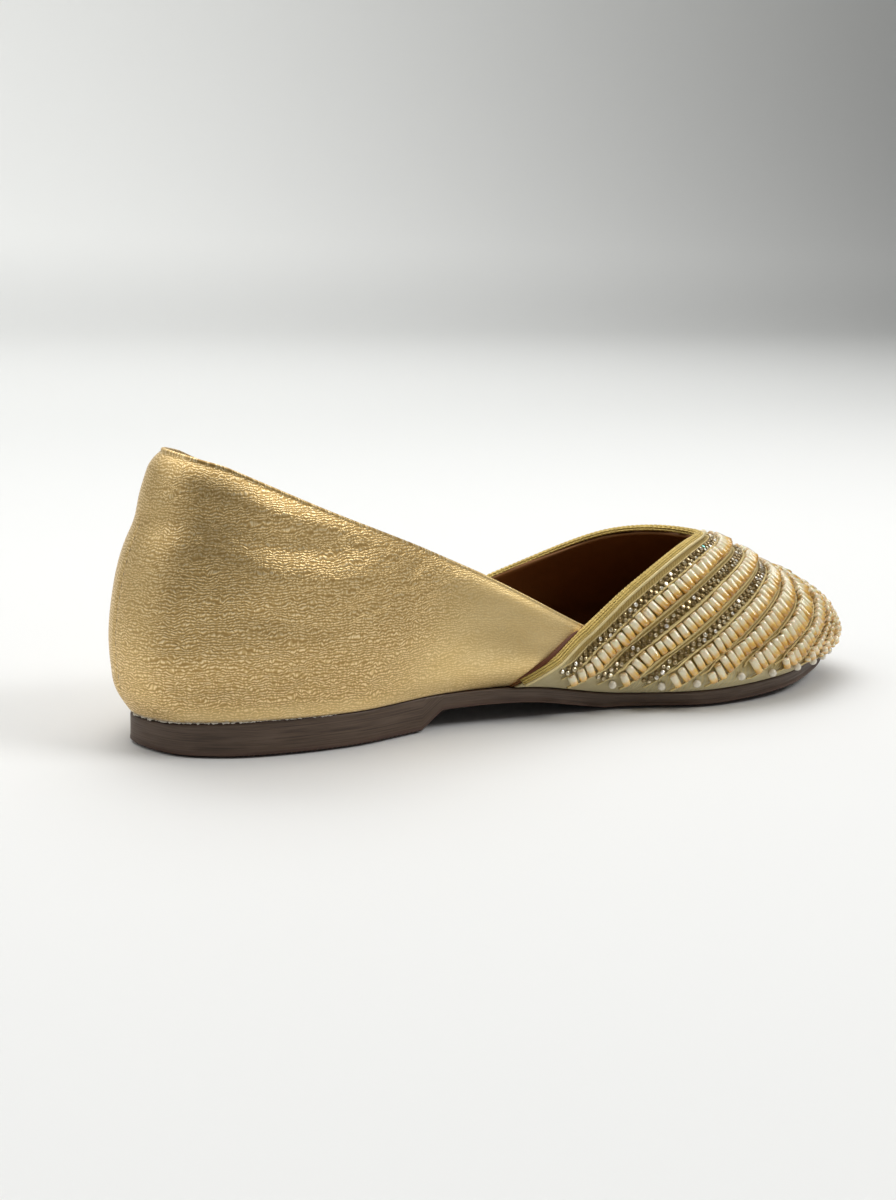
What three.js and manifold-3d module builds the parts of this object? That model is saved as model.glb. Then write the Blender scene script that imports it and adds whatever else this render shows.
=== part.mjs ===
// A woman's left slip-on flat for a wedding: a plain leather quarter with a high back, and a low-cut
// vamp that is covered in rows of tube beads, on a moulded rubber sole with a low heel.
// Millimetres. +X runs to the toe, +Y to the outer side, +Z up. The floor is z = 0, and the origin lies on
// the floor under the middle of the heel.
// The last is a table of sections. Every wall, band and row lies on that surface, lifted by its own amount.
import * as THREE from "three";
import { mergeVertices } from "three/addons/utils/BufferGeometryUtils.js";
import Module from "manifold-3d";

// Driving sizes of the last and the sole
const soleLength = 245;
const heelWidth = 56;
const ballWidth = 79;
const heelHeight = 8.6; // floor to heel seat
const instepHeight = 39; // last above its seat, at the throat
const backHeight = 66; // quarter above the heel seat, at the back
const heelCentreAlong = 0.115; // share of the sole length behind the origin
const widthStart = 0.2; // shares of the sole length between which the heel width passes into the ball width
const widthEnd = 0.62;

// Walls, each lifted from the last's surface along its normal
const fitGap = 0.35;
const trimGap = 0.75;
const quarterWall = 1.8;
const liningWall = 1.3;
const liningSunk = 0.5; // how far the vamp lining bites into the quarter that it is sewn to
const coverWall = 0.9;
const insoleThickness = 2.2;
const insoleSlack = 1.15;
const insoleDish = 0.8;

// Sole
const soleEdge = 5.4; // thickness of the forefoot and waist
const soleUnderBevel = 0.8;
const heelStart = 0.335; // share of the sole length at which the heel's flat ends
const breastRun = 7;
const soleTopBevel = 0.3;
const soleTopDrop = 0.8; // the side's upright face starts this far below the sole's top
const vampTuck = 1.6; // the vamp's foot lies this far inside the sole's edge
const tuckStart = 0.3; // shares of the sole length between which the tuck sets in
const tuckEnd = 0.5;
const tuckClimb = 0.3; // share of the ridge's height over which it fades out
const heelTuck = 4.6; // the sole and the quarter's foot lie up to this far inside the quarter's swell
const heelTuckClimb = 0.13;

// Vamp trim
const braidWidth = 3.8;
const braidHeight = 1.2;
const beadLength = 4.6; // tube beads lie across their row
const beadHeight = 2;
const stoneWidth = 2.2;
const stoneHeight = 1.3;
const bandShoulder = 0.6; // share of a band's height at its edges, and of its half width that is flat on top
const coverEdge = 0.012; // the cover starts this far behind the throat's edge, in rows

// Facets
const outsoleFacets = { along: 48, cutClearance: 0.09 };
const insoleFacets = { along: 30, across: 4 };
const quarterFacets = { round: 52, up: 7 };
const vampFacets = { across: 28, toeRows: [0.93, 0.965, 0.985, 1] };
const braidFacets = 36;
const rowFacets = 26;
const nudge = 0.004; // half the step of a numerical slope, in stations, radians or shares
const rowNudge = 0.01; // the same, in rows

// Sections of the last. half widths are shares of the local width, seat is a share of the heel height,
// ridge a share of the instep height. Behind the throat the ridge is the last's closed top, which doesn't show.
// flank and crown are the superellipse's powers; bulge is how far the wall swells past the sole, in walls;
// nose is how far the toe's front leans back, as a share of the instep height.
const sections = [
  { along: 0, inner: 0, outer: 0, seat: 0.95, ridge: 2.45, flank: 2.3, crown: 1.8, bulge: 1.3, nose: 0 },
  { along: 0.02, inner: 0.25, outer: 0.22, seat: 1, ridge: 2.45, flank: 2.3, crown: 1.8, bulge: 1.42, nose: 0 },
  { along: 0.06, inner: 0.387, outer: 0.387, seat: 1.11, ridge: 2.45, flank: 2.3, crown: 1.8, bulge: 1.54, nose: 0 },
  { along: 0.13, inner: 0.474, outer: 0.491, seat: 1.16, ridge: 2.4, flank: 2.2, crown: 1.8, bulge: 1.67, nose: 0 },
  { along: 0.24, inner: 0.487, outer: 0.506, seat: 1.15, ridge: 2.25, flank: 1.9, crown: 1.9, bulge: 1.79, nose: 0 },
  { along: 0.36, inner: 0.359, outer: 0.441, seat: 1.19, ridge: 1.95, flank: 1.6, crown: 2, bulge: 1.91, nose: 0 },
  { along: 0.48, inner: 0.345, outer: 0.426, seat: 1.16, ridge: 1.6, flank: 1.36, crown: 2.03, bulge: 2.04, nose: 0 },
  { along: 0.6, inner: 0.328, outer: 0.479, seat: 0.61, ridge: 1.29, flank: 1.35, crown: 1.98, bulge: 1.9, nose: 0 },
  { along: 0.72, inner: 0.44, outer: 0.48, seat: 0.62, ridge: 1.15, flank: 1.35, crown: 1.92, bulge: 1.77, nose: 0 },
  { along: 0.84, inner: 0.426, outer: 0.422, seat: 0.78, ridge: 0.88, flank: 1.35, crown: 1.87, bulge: 1.63, nose: 0.04 },
  { along: 0.93, inner: 0.304, outer: 0.275, seat: 0.92, ridge: 0.62, flank: 1.35, crown: 1.82, bulge: 1.5, nose: 0.16 },
  { along: 0.98, inner: 0.185, outer: 0.139, seat: 1.16, ridge: 0.51, flank: 1.35, crown: 1.77, bulge: 1.36, nose: 0.32 },
  { along: 1, inner: 0, outer: 0, seat: 1.32, ridge: 0.44, flank: 1.35, crown: 1.71, bulge: 1.23, nose: 0.36 },
];
const lastRow = sections.length - 1;
const footRise = 0.05; // the normal is taken no lower than this
const levelRise = 0.3; // below this it turns level
const poleRise = 0.15; // where all sections meet on the toe, the normal is taken this far below the ridge

// The back of the heel in side view: how far it leans in at a height, as shares of the back height.
const backCurve = [
  { up: 0, in: 0.034 },
  { up: 0.2, in: 0.014 },
  { up: 0.4, in: 0.021 },
  { up: 0.6, in: 0.054 },
  { up: 0.8, in: 0.105 },
  { up: 1, in: 0.162 },
  { up: 1.3, in: 0.238 },
];
const backFade = 0.22; // share of the sole length over which that lean fades out
const backFadePower = 1.5;
const swellPeak = 4 / 27; // largest value of c (1 - c)^2

// How far the heel is drawn in at its foot on each side, as shares of the heel tuck.
const tuckShape = [
  { along: 0, inner: 0.46, outer: 0.46 },
  { along: 0.02, inner: 0.42, outer: 0.95 },
  { along: 0.06, inner: 0.3, outer: 0.95 },
  { along: 0.13, inner: 0.12, outer: 0.5 },
  { along: 0.22, inner: 0, outer: 0.12 },
  { along: 0.3, inner: 0, outer: 0 },
];

// The quarter's top line in side view: height above the seat, as a share of the back height.
const topLine = [
  { along: 0, up: 1.079 },
  { along: 0.035, up: 1.056 },
  { along: 0.08, up: 1.018 },
  { along: 0.2, up: 0.853 },
  { along: 0.3, up: 0.7 },
  { along: 0.4, up: 0.54 },
  { along: 0.5, up: 0.367 },
  { along: 0.58, up: 0.274 },
];

// The vamp's rows: 0 is the throat's edge and 1 the toe's foot. Each runs as a blunt V from the inner sole edge
// over the ridge to the outer one; foot is where it meets the sole edge, as a share of the sole length.
const throatApex = 0.794; // share of the sole length on the ridge
const rowShape = [
  { row: 0, foot: 0.452, blunt: 0.3 },
  { row: 0.25, foot: 0.535, blunt: 0.68 },
  { row: 0.5, foot: 0.653, blunt: 0.68 },
  { row: 0.75, foot: 0.815, blunt: 0.5 },
  { row: 0.9, foot: 0.91, blunt: 0.5 },
  { row: 1, foot: 1, blunt: 0.5 },
];
const rowDescent = 0.75;
const quarterEnd = 0.56; // share at which the quarter ends, under the vamp

// Trim on the vamp. row is its place on the vamp's middle line, reach the share of that line it may fill on each
// side, and stop how far it ends above the sole, as a share of its side's length.
const braid = { row: 0.030, reach: 0.028, stop: 0.06 };
const stoneRows = [
  { row: 0.088, reach: 0.016, stop: 0.1 },
  { row: 0.241, reach: 0.018, stop: 0.1 },
  { row: 0.396, reach: 0.018, stop: 0.1 },
];
const beadRows = [
  { row: 0.152, reach: 0.034, stop: 0.08 },
  { row: 0.315, reach: 0.034, stop: 0.08 },
  { row: 0.458, reach: 0.027, stop: 0.08 },
  { row: 0.52, reach: 0.026, stop: 0.1 },
  { row: 0.583, reach: 0.024, stop: 0.12 },
  { row: 0.641, reach: 0.019, stop: 0.13 },
  { row: 0.7, reach: 0.019, stop: 0.15 },
  { row: 0.76, reach: 0.023, stop: 0.18 },
  { row: 0.82, reach: 0.023, stop: 0.21 },
  { row: 0.878, reach: 0.021, stop: 0.25 },
];

// Value of a 1-D Catmull-Rom spline through evenly numbered knots. Past an end the knots are mirrored,
// with their sign turned where the value is a half width, so that heel and toe are round.
function spline(knots, position, mirrorSign = 1) {
  const last = knots.length - 1;
  const knot = (index) => {
    if (index < 0) return mirrorSign * knots[-index];
    if (index > last) return mirrorSign * knots[2 * last - index];
    return knots[index];
  };
  const start = Math.min(Math.max(Math.floor(position), -1), last);
  const f = position - start;
  const [a, b, c, d] = [knot(start - 1), knot(start), knot(start + 1), knot(start + 2)];
  return b + 0.5 * f * (c - a + f * (2 * a - 5 * b + 4 * c - d + f * (3 * (b - c) + d - a)));
}

// Piecewise cubic through a table's rows, smooth and without overshoot at the ends.
function tableValue(table, key, value, at) {
  const last = table.length - 1;
  if (at <= table[0][key]) return table[0][value];
  if (at >= table[last][key]) return table[last][value];
  let row = 0;
  while (at > table[row + 1][key]) row += 1;
  const slope = (r) => {
    const before = Math.max(r - 1, 0);
    const after = Math.min(r + 1, last);
    return (table[after][value] - table[before][value]) / (table[after][key] - table[before][key]);
  };
  const run = table[row + 1][key] - table[row][key];
  const f = (at - table[row][key]) / run;
  const f2 = f * f;
  const f3 = f2 * f;
  return (
    table[row][value] * (2 * f3 - 3 * f2 + 1) +
    table[row + 1][value] * (3 * f2 - 2 * f3) +
    run * slope(row) * (f3 - 2 * f2 + f) +
    run * slope(row + 1) * (f3 - f2)
  );
}

const columns = Object.fromEntries(Object.keys(sections[0]).map((key) => [key, sections.map((row) => row[key])]));
const steps = (from, to, count) => Array.from({ length: count + 1 }, (_, i) => from + ((to - from) * i) / count);
const smoothStep = (low, high, value) => THREE.MathUtils.smoothstep(value, low, high);
const signedPower = (base, power) => Math.sign(base) * Math.abs(base) ** power;

// Station: a position in the table, 0 at the heel's back and lastRow at the toe.
function stationAt(along) {
  let low = 0;
  let high = lastRow;
  for (let step = 0; step < 40; step += 1) {
    const middle = (low + high) / 2;
    if (spline(columns.along, middle) < along) low = middle;
    else high = middle;
  }
  return (low + high) / 2;
}

const alongAt = (station) => spline(columns.along, station);
const seatAt = (station) => heelHeight * spline(columns.seat, station);
const ridgeAt = (station) => instepHeight * spline(columns.ridge, station);

const seatUnder = (x) => seatAt(stationAt(THREE.MathUtils.clamp(x / soleLength, 0, 1)));

// Sole outline at a station: side is -1 for the inner edge and 1 for the outer.
function outline(station, side, inset = 0) {
  const place = (s) => {
    const along = alongAt(s);
    const width = heelWidth + (ballWidth - heelWidth) * smoothStep(widthStart, widthEnd, along);
    const half = width * spline(side < 0 ? columns.inner : columns.outer, s, -1);
    return new THREE.Vector2(along * soleLength, side * half);
  };
  const here = place(station);
  if (inset === 0) return here;
  const ahead = place(station + nudge).sub(place(station - nudge)).normalize();
  const inward = new THREE.Vector2(side * ahead.y, -side * ahead.x);
  return here.addScaledVector(inward, inset);
}

const heelTuckAt = (station, side) =>
  heelTuck * tableValue(tuckShape, "along", side < 0 ? "inner" : "outer", alongAt(station));

// How far the last lies forward of the sole's outline near the back of the heel, at a height above the seat.
function backLean(station, up) {
  const fade = Math.max(0, 1 - alongAt(station) / backFade) ** backFadePower;
  return backHeight * tableValue(backCurve, "up", "in", up / backHeight) * fade;
}

// The last's surface. Rise turns from 0 at the sole to a quarter turn on the ridge.
function lastPoint(station, side, rise) {
  const flank = spline(columns.flank, station);
  const crown = spline(columns.crown, station);
  const climb = signedPower(Math.sin(rise), 2 / flank);
  const share = signedPower(Math.cos(rise), 2 / crown);
  const up = ridgeAt(station) * climb;
  const tuckFade = smoothStep(tuckStart, tuckEnd, alongAt(station)) * (1 - smoothStep(0, tuckClimb, climb));
  const heelFade = 1 - smoothStep(0, heelTuckClimb, climb);
  const foot = outline(station, side, vampTuck * tuckFade + heelTuckAt(station, side) * heelFade);
  const swellShape = (Math.abs(climb) * (1 - Math.abs(climb)) ** 2) / swellPeak;
  const swell = quarterWall * spline(columns.bulge, station) * swellShape;
  const outwards = outline(station, side, -1).sub(foot);
  const noseLean = instepHeight * spline(columns.nose, station) * climb * climb;
  const x = foot.x + outwards.x * swell + backLean(station, up);
  const y = foot.y * share + outwards.y * swell * Math.max(0, Math.cos(rise));
  return new THREE.Vector3(x - noseLean, y, seatUnder(x) + fitGap + up);
}

// The same point lifted along the surface's outward normal. Down to the sole the normal turns level, so that the
// layers stand on the sole side by side.
function skin(station, side, rise, lift) {
  const atToe = smoothStep(lastRow - 0.3, lastRow, station);
  const faced = THREE.MathUtils.clamp(rise, footRise, Math.PI / 2 - poleRise * atToe);
  const alongTangent = lastPoint(station + nudge, side, faced).sub(lastPoint(station - nudge, side, faced));
  const upTangent = lastPoint(station, side, faced + nudge).sub(lastPoint(station, side, faced - nudge));
  const normal = alongTangent.cross(upTangent).multiplyScalar(-side).normalize();
  normal.setZ(Math.max(normal.z, 0) * smoothStep(0, levelRise, rise));
  if (Math.cos(rise) < 1e-6) normal.setY(0);
  normal.normalize();
  const base = lastPoint(station, side, rise);
  const lifted = base.clone().addScaledVector(normal, lift);
  return lifted.setZ(lifted.z + seatUnder(lifted.x) - seatUnder(base.x));
}

// Rise on the last at a height above the seat.
function riseAtHeight(station, up) {
  const climb = Math.min(Math.max(up / ridgeAt(station), 0), 1);
  return Math.asin(climb ** (spline(columns.flank, station) / 2));
}

// The vamp's middle line, over the ridge and down the toe's front: station and rise at each share of its length.
const middleLine = (() => {
  const ridge = steps(stationAt(throatApex), lastRow, 60).map((station) => ({ station, rise: Math.PI / 2 }));
  const front = steps(Math.PI / 2, 0, 40).map((rise) => ({ station: lastRow, rise }));
  const line = [...ridge, ...front.slice(1)];
  const points = line.map(({ station, rise }) => lastPoint(station, 1, rise));
  let length = 0;
  line.forEach((place, i) => {
    if (i > 0) length += points[i].distanceTo(points[i - 1]);
    place.row = length;
  });
  return line.map((place) => ({ ...place, row: place.row / length }));
})();

// A row of the vamp: row is its share of the middle line, and across runs from -1 at the inner sole edge over 0
// on the middle line to 1 at the outer edge.
function rowPoint(row, across, lift) {
  const apexStation = tableValue(middleLine, "row", "station", row);
  const apexRise = tableValue(middleLine, "row", "rise", row);
  const footStation = stationAt(tableValue(rowShape, "row", "foot", row));
  const blunt = tableValue(rowShape, "row", "blunt", row);
  const away = Math.abs(across);
  const run = (Math.sqrt(away * away + blunt * blunt) - blunt) / (Math.sqrt(1 + blunt * blunt) - blunt);
  const station = apexStation + (footStation - apexStation) * run;
  return skin(station, across < 0 ? -1 : 1, apexRise * (1 - away) ** rowDescent, lift);
}

// Closed mesh from four-cornered faces: corners that meet are merged, empty triangles dropped, and the whole
// turned inside out if its faces look inwards.
function closedGeometry(quads) {
  const positions = [];
  for (const [a, b, c, d] of quads) {
    for (const corner of [a, b, c, a, c, d]) positions.push(corner.x, corner.y, corner.z);
  }
  const loose = new THREE.BufferGeometry();
  loose.setAttribute("position", new THREE.Float32BufferAttribute(positions, 3));
  const merged = mergeVertices(loose, 1e-3);
  const index = Array.from(merged.index.array);
  const kept = [];
  for (let i = 0; i < index.length; i += 3) {
    const [a, b, c] = index.slice(i, i + 3);
    if (a !== b && b !== c && c !== a) kept.push(a, b, c);
  }
  if (signedVolume(merged.attributes.position, kept) < 0) kept.reverse();
  merged.setIndex(kept);
  return merged;
}

function signedVolume(position, index) {
  const corners = index.map((i) => new THREE.Vector3().fromBufferAttribute(position, i));
  let volume = 0;
  for (let i = 0; i < corners.length; i += 3) {
    const [a, b, c] = corners.slice(i, i + 3);
    volume += a.dot(b.cross(c)) / 6;
  }
  return volume;
}

// A wall between an outer and an inner grid of points with the same rows and columns.
function wall(outer, inner) {
  const quads = [];
  const rows = outer.length - 1;
  const cols = outer[0].length - 1;
  for (let i = 0; i < rows; i += 1) {
    for (let j = 0; j < cols; j += 1) {
      quads.push([outer[i][j], outer[i + 1][j], outer[i + 1][j + 1], outer[i][j + 1]]);
      quads.push([inner[i][j], inner[i][j + 1], inner[i + 1][j + 1], inner[i + 1][j]]);
    }
    quads.push([outer[i][0], inner[i][0], inner[i + 1][0], outer[i + 1][0]]);
    quads.push([outer[i][cols], outer[i + 1][cols], inner[i + 1][cols], inner[i][cols]]);
  }
  for (let j = 0; j < cols; j += 1) {
    quads.push([outer[0][j], outer[0][j + 1], inner[0][j + 1], inner[0][j]]);
    quads.push([outer[rows][j], inner[rows][j], inner[rows][j + 1], outer[rows][j + 1]]);
  }
  return closedGeometry(quads);
}

// Grid of points: rows and cols are lists of parameter values.
const grid = (rows, cols, point) => rows.map((row) => cols.map((col) => point(row, col)));

// A band on the vamp that follows a row, width wide where there is room for it. Its profile holds shares of the
// half width and heights above the surface.
function band({ row, reach, stop }, width, height, count) {
  const profile = [
    { side: -1, up: trimBase },
    { side: 1, up: trimBase },
    { side: 1, up: trimBase + bandShoulder * height },
    { side: bandShoulder, up: trimBase + height },
    { side: -bandShoulder, up: trimBase + height },
    { side: -1, up: trimBase + bandShoulder * height },
  ];
  const path = steps(stop - 1, 1 - stop, count).map((across) => {
    const here = rowPoint(row, across, trimBase);
    const along = rowPoint(row, across + nudge, trimBase).sub(rowPoint(row, across - nudge, trimBase)).normalize();
    const up = rowPoint(row, across, trimBase + 1).sub(here).normalize();
    const aside = new THREE.Vector3().crossVectors(up, along).normalize();
    const next = rowPoint(row + rowNudge, across, trimBase).sub(rowPoint(row - rowNudge, across, trimBase));
    const room = (reach * Math.abs(next.dot(aside))) / (2 * rowNudge);
    const half = Math.min(width / 2, room);
    return profile.map((corner) =>
      here.clone().addScaledVector(aside, corner.side * half).addScaledVector(up, corner.up - trimBase),
    );
  });
  const quads = [];
  const corners = profile.length;
  for (let i = 0; i < count; i += 1) {
    for (let k = 0; k < corners; k += 1) {
      const next = (k + 1) % corners;
      quads.push([path[i][k], path[i][next], path[i + 1][next], path[i + 1][k]]);
    }
  }
  for (let k = 1; k + 1 < corners; k += 1) {
    quads.push([path[0][0], path[0][k + 1], path[0][k], path[0][k]]);
    quads.push([path[count][0], path[count][k], path[count][k + 1], path[count][k + 1]]);
  }
  return closedGeometry(quads);
}

const wasm = await Module();
wasm.setup();

function solidOf(geometry) {
  const vertProperties = new Float32Array(geometry.attributes.position.array);
  const triVerts = new Uint32Array(geometry.index.array);
  return new wasm.Manifold(new wasm.Mesh({ numProp: 3, vertProperties, triVerts }));
}

function geometryOf(solid) {
  const mesh = solid.getMesh();
  const geometry = new THREE.BufferGeometry();
  const xyz = new Float32Array(mesh.numVert * 3);
  for (let i = 0; i < mesh.numVert; i += 1) {
    xyz.set(mesh.vertProperties.subarray(i * mesh.numProp, i * mesh.numProp + 3), i * 3);
  }
  geometry.setAttribute("position", new THREE.BufferAttribute(xyz, 3));
  geometry.setIndex(new THREE.BufferAttribute(mesh.triVerts, 1));
  return geometry;
}

// Moulded sole: flat heel, slanted breast, raised waist, flat forefoot and toe spring.
function soleFloor(station) {
  const along = alongAt(station);
  const lifted = Math.max(0, seatAt(station) - soleEdge);
  const breastShare = (along - heelStart) / (breastRun / soleLength);
  return lifted * THREE.MathUtils.clamp(breastShare, 0, 1);
}

function outsole() {
  const cuts = [heelStart, heelStart + breastRun / soleLength].map(stationAt);
  const clear = (station) => cuts.every((cut) => Math.abs(station - cut) > outsoleFacets.cutClearance);
  const stations = steps(0, lastRow, outsoleFacets.along).filter(clear);
  stations.push(...cuts);
  stations.sort((a, b) => a - b);
  const levels = [
    { inset: soleTopBevel, up: (s) => seatAt(s) },
    { inset: 0, up: (s) => seatAt(s) - soleTopDrop },
    { inset: 0, up: (s) => soleFloor(s) + soleUnderBevel },
    { inset: soleUnderBevel, up: (s) => soleFloor(s) },
  ];
  const ring = (side) => (station) =>
    levels.map(({ inset, up }) => {
      const place = outline(station, side, inset + heelTuckAt(station, side));
      const flat = Math.abs(place.y) < 1e-6 ? 0 : place.y;
      return new THREE.Vector3(place.x + backLean(station, 0), flat, up(station));
    });
  const inner = stations.map(ring(-1));
  const outer = stations.map(ring(1));
  const quads = [];
  for (let i = 0; i + 1 < stations.length; i += 1) {
    quads.push([inner[i][0], inner[i + 1][0], outer[i + 1][0], outer[i][0]]);
    quads.push([inner[i][3], outer[i][3], outer[i + 1][3], inner[i + 1][3]]);
    for (let k = 0; k < 3; k += 1) {
      quads.push([inner[i][k], inner[i][k + 1], inner[i + 1][k + 1], inner[i + 1][k]]);
      quads.push([outer[i][k], outer[i + 1][k], outer[i + 1][k + 1], outer[i][k + 1]]);
    }
  }
  return closedGeometry(quads);
}

// Footbed that lies on the sole, inside the quarter and the vamp lining: the sole's outline drawn in all round.
function insole() {
  const inset = quarterWall + vampTuck + insoleSlack;
  const stations = steps(0, lastRow, insoleFacets.along);
  const across = steps(-1, 1, insoleFacets.across);
  const layer = (lift) => (station, share) => {
    const side = share < 0 ? -1 : 1;
    const edge = outline(station, side, heelTuckAt(station, side));
    const x = inset + edge.x * (1 - (2 * inset) / soleLength);
    const y = Math.abs(share) * edge.y * (1 - (2 * inset) / heelWidth);
    const dish = lift > 0 ? lift + insoleDish * ((2 * y) / heelWidth) ** 2 : 0;
    return new THREE.Vector3(x, y, seatUnder(x) + fitGap + dish);
  };
  return wall(grid(stations, across, layer(insoleThickness)), grid(stations, across, layer(0)));
}

// Quarter: one wall from the inner side round the heel to the outer side, open above and below.
function quarterSolid() {
  const end = stationAt(quarterEnd);
  const ring = steps(-end, end, quarterFacets.round);
  const heights = steps(0, 1, quarterFacets.up);
  const place = (lift) => (signedStation, share) => {
    const side = signedStation < 0 ? -1 : 1;
    const station = Math.abs(signedStation);
    const top = backHeight * tableValue(topLine, "along", "up", alongAt(station));
    return skin(station, side, riseAtHeight(station, top * share), lift);
  };
  return solidOf(wall(grid(ring, heights, place(0)), grid(ring, heights, place(-quarterWall))));
}

// Part of the vamp between two lifts, from the throat's edge to the toe.
function vampWall(lowLift, highLift, edge) {
  const trimmed = [...stoneRows, ...beadRows].map(({ row }) => row).sort((a, b) => a - b);
  const rows = [edge, ...trimmed, ...vampFacets.toeRows];
  const across = steps(-1, 1, vampFacets.across);
  const place = (lift) => (row, share) => rowPoint(row, share, lift);
  return wall(grid(rows, across, place(highLift)), grid(rows, across, place(lowLift)));
}

const coverLow = liningWall - liningSunk + fitGap;
const coverHigh = coverLow + coverWall;
const trimBase = coverHigh + trimGap;

const leather = new THREE.MeshStandardMaterial({ color: 0xc9a468, roughness: 0.42, metalness: 0.6 });
const brocade = new THREE.MeshStandardMaterial({ color: 0xb09a58, roughness: 0.65, metalness: 0.2 });
const goldThread = new THREE.MeshStandardMaterial({ color: 0xd8c27a, roughness: 0.45, metalness: 0.4 });
const beadGlass = new THREE.MeshStandardMaterial({ color: 0xe2c79a, roughness: 0.2, metalness: 0.1 });
const stoneGlass = new THREE.MeshStandardMaterial({ color: 0xc8b98a, roughness: 0.1, metalness: 0.3 });
const rubber = new THREE.MeshStandardMaterial({ color: 0x5e463b, roughness: 0.6, metalness: 0 });
const sock = new THREE.MeshStandardMaterial({ color: 0x7a4a26, roughness: 0.7, metalness: 0 });

const shoe = new THREE.Group();
shoe.position.x = -heelCentreAlong * soleLength;

function add(name, geometry, material) {
  const mesh = new THREE.Mesh(geometry, material);
  mesh.name = name;
  shoe.add(mesh);
}

add("outsole", outsole(), rubber);
add("insole", insole(), sock);
const liningSolid = solidOf(vampWall(-liningSunk, liningWall - liningSunk, 0));
add("upper", geometryOf(quarterSolid().add(liningSolid)), leather);
add("vamp_cover", vampWall(coverLow, coverHigh, coverEdge), brocade);
add("throat_braid", band(braid, braidWidth, braidHeight, braidFacets), goldThread);
beadRows.forEach((row, i) => {
  add(`bead_row_${i + 1}`, band(row, beadLength, beadHeight, rowFacets), beadGlass);
});
stoneRows.forEach((row, i) => {
  add(`stone_row_${i + 1}`, band(row, stoneWidth, stoneHeight, rowFacets), stoneGlass);
});

export default shoe;
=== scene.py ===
"""Looks of a woman's left slip-on flat: gold leather quarter, vamp in rows of tube beads, brown rubber sole.

Lengths are in millimetres on the last's own surface and are turned into metres when a mesh is made. The surface
is the same function of station, side and rise as in the part's source, from the same tables.
"""

import math

import bpy
import numpy as np
from mathutils import Matrix


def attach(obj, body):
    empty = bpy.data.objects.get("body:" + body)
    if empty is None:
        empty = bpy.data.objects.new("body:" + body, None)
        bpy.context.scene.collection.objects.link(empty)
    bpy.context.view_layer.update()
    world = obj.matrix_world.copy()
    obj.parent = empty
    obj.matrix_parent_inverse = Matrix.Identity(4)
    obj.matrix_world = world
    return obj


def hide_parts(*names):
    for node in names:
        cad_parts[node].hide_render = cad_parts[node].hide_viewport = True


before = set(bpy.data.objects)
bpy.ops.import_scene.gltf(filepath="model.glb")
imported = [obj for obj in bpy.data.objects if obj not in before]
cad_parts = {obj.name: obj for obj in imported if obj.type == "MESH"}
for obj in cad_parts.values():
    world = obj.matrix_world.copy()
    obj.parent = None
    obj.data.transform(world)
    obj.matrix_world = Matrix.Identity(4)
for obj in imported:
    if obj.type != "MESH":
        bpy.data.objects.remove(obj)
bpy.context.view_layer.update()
random = np.random.default_rng(7)


def table(names, *rows):
    """Columns of a short table by name."""
    return dict(zip(names.split(), np.array(rows, float).T))


# Sizes of the last and the sole, as in the part
SOLE_LENGTH = 245.0
HEEL_WIDTH = 56.0
BALL_WIDTH = 79.0
HEEL_HEIGHT = 8.6
INSTEP_HEIGHT = 39.0
BACK_HEIGHT = 66.0
ORIGIN_X = 0.115 * SOLE_LENGTH
FIT_GAP = 0.35
QUARTER_WALL = 1.8
VAMP_TUCK = 1.6
BACK_FADE = 0.22
SWELL_PEAK = 6.75  # brings climb * (1 - climb)^2 to a peak of 1
SOLE_EDGE = 5.4
HEEL_START = 0.335
HEEL_TUCK = 4.6
BREAST_RUN = 7.0
LINING_IN = -0.5
LINING_OUT = 0.8
COVER_LOW = 1.15
COVER_HIGH = 2.05
SECTIONS = table(
    "along inner outer seat ridge flank crown bulge nose",
    (0.00, 0.000, 0.000, 0.95, 2.45, 2.30, 1.80, 1.30, 0.00),
    (0.02, 0.250, 0.220, 1.00, 2.45, 2.30, 1.80, 1.42, 0.00),
    (0.06, 0.387, 0.387, 1.11, 2.45, 2.30, 1.80, 1.54, 0.00),
    (0.13, 0.474, 0.491, 1.16, 2.40, 2.20, 1.80, 1.67, 0.00),
    (0.24, 0.487, 0.506, 1.15, 2.25, 1.90, 1.90, 1.79, 0.00),
    (0.36, 0.359, 0.441, 1.19, 1.95, 1.60, 2.00, 1.91, 0.00),
    (0.48, 0.345, 0.426, 1.16, 1.60, 1.36, 2.03, 2.04, 0.00),
    (0.60, 0.328, 0.479, 0.61, 1.29, 1.35, 1.98, 1.90, 0.00),
    (0.72, 0.440, 0.480, 0.62, 1.15, 1.35, 1.92, 1.77, 0.00),
    (0.84, 0.426, 0.422, 0.78, 0.88, 1.35, 1.87, 1.63, 0.04),
    (0.93, 0.304, 0.275, 0.92, 0.62, 1.35, 1.82, 1.50, 0.16),
    (0.98, 0.185, 0.139, 1.16, 0.51, 1.35, 1.77, 1.36, 0.32),
    (1.00, 0.000, 0.000, 1.32, 0.44, 1.35, 1.71, 1.23, 0.36),
)
BACK_CURVE = table(
    "up lean",
    (0, 0.034), (0.2, 0.014), (0.4, 0.021), (0.6, 0.054), (0.8, 0.105), (1, 0.162), (1.3, 0.238),
)
TOP_LINE = table(
    "along up",
    (0, 1.079), (0.035, 1.056), (0.08, 1.018), (0.2, 0.853), (0.3, 0.7), (0.4, 0.54), (0.5, 0.367),
    (0.58, 0.274),
)
TUCK_SHAPE = table(
    "along inner outer",
    (0, 0.46, 0.46), (0.02, 0.42, 0.95), (0.06, 0.3, 0.95), (0.13, 0.12, 0.5), (0.22, 0, 0.12), (0.3, 0, 0),
)
THROAT_APEX = 0.794
ROW_SHAPE = table(
    "row foot blunt",
    (0, 0.452, 0.3), (0.25, 0.535, 0.68), (0.5, 0.653, 0.68), (0.75, 0.815, 0.5), (0.9, 0.91, 0.5), (1, 1, 0.5),
)
QUARTER_END = 0.56
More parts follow.
